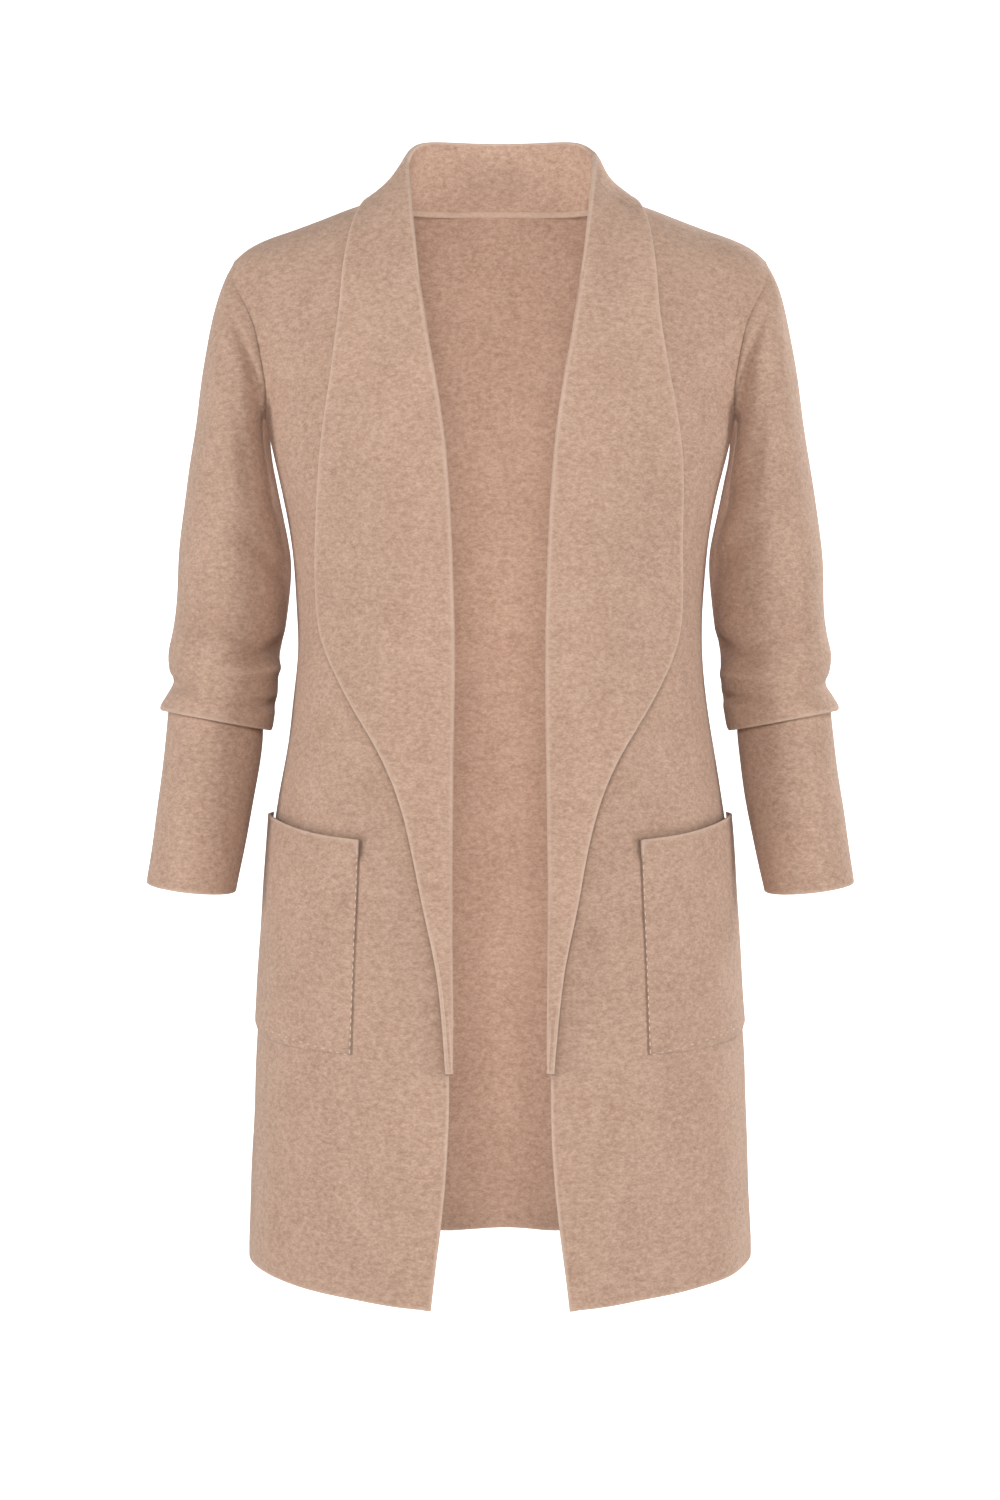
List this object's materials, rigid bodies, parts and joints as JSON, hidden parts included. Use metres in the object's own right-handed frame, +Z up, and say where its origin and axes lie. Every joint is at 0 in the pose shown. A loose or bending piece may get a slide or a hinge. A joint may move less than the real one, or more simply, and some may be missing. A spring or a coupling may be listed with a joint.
{
  "type": "duster cardigan",
  "caption": "Open-front, mid-thigh duster cardigan in soft felted knit, with a wide shawl collar, pushed-up sleeves and patch pockets.",
  "frame": {"origin": "where the wearer's shoulders carry it: the middle of the neck opening, level with the neck ends of the shoulder seams", "axes": "+Z up along the wearer's spine, -Y the way the wearer faces, +X towards the wearer's left"},
  "size_m": [0.5576, 0.2584, 0.9132],
  "materials": {
    "cloth": "soft heathered double-faced knit, matt, lightly brushed"
  },
  "bodies": {
    "root": {"back": "cloth", "front_left": "cloth", "front_right": "cloth", "collar": "cloth", "sleeve_left": "cloth", "sleeve_right": "cloth", "pocket_left": "cloth", "pocket_right": "cloth"}
  },
  "joints": []
}
